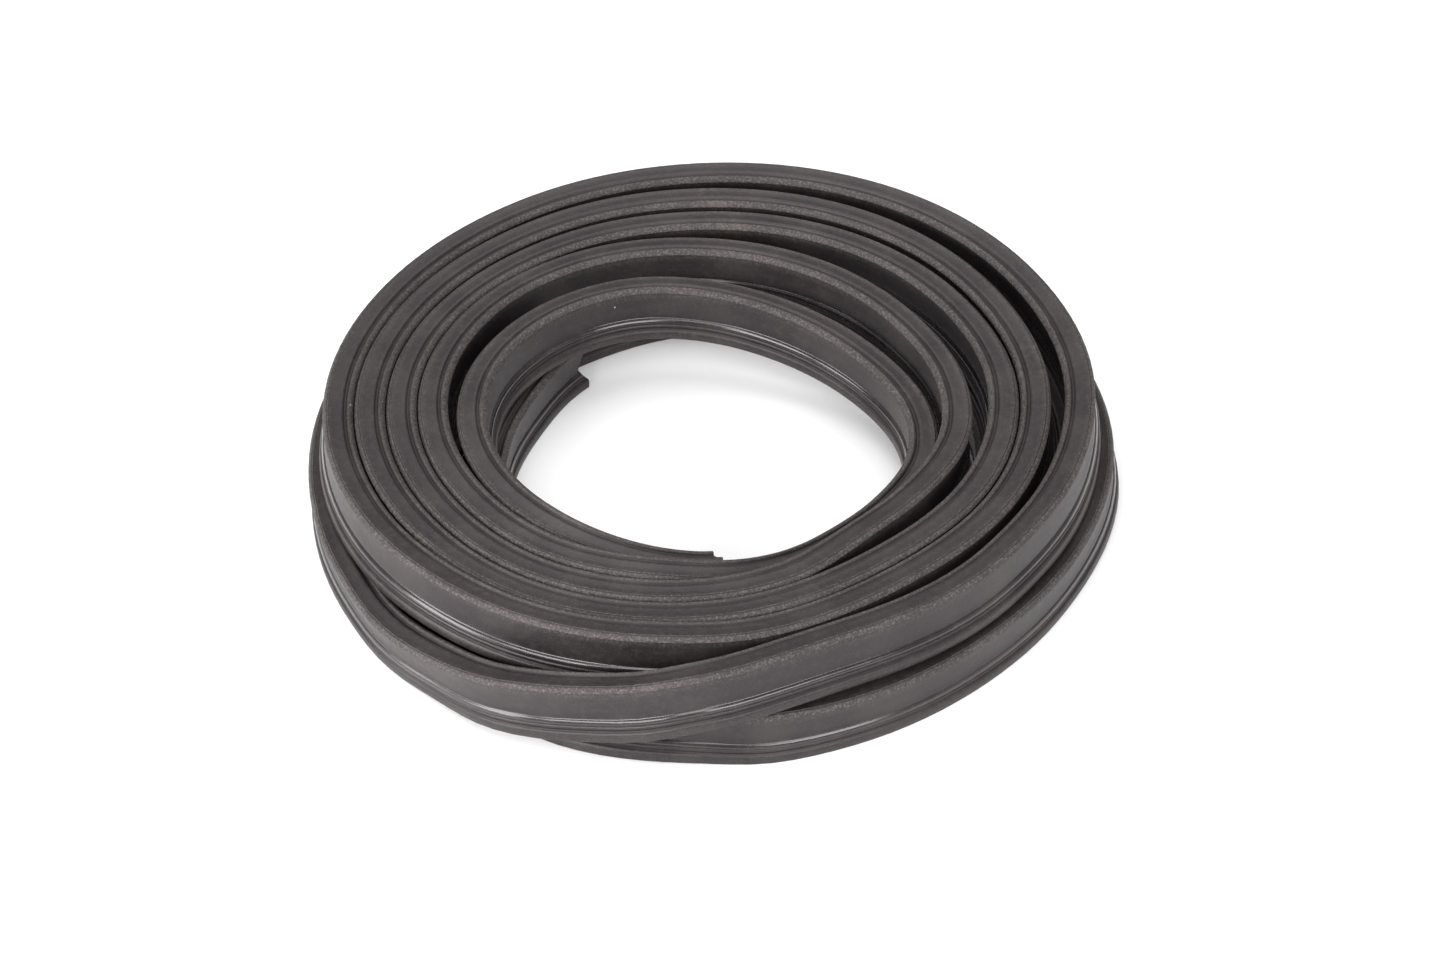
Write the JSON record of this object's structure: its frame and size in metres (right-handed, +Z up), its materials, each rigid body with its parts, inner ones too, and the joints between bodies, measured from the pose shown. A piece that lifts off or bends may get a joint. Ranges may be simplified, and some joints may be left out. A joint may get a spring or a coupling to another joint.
{
  "type": "rubber seal strip",
  "caption": "Black rubber seal strip with a ribbed, grooved section, lying as a loose two-layer coil around an open bore.",
  "frame": {"origin": "on the floor under the middle of the coil's outline", "axes": "+Z up out of the flat-lying coil, +X to the picture's right, +Y away from the camera"},
  "size_m": [0.265, 0.2689, 0.0421],
  "materials": {
    "rubber": "satin walls, finely rough edges"
  },
  "bodies": {
    "root": {"seal_strip": "rubber"}
  },
  "joints": []
}
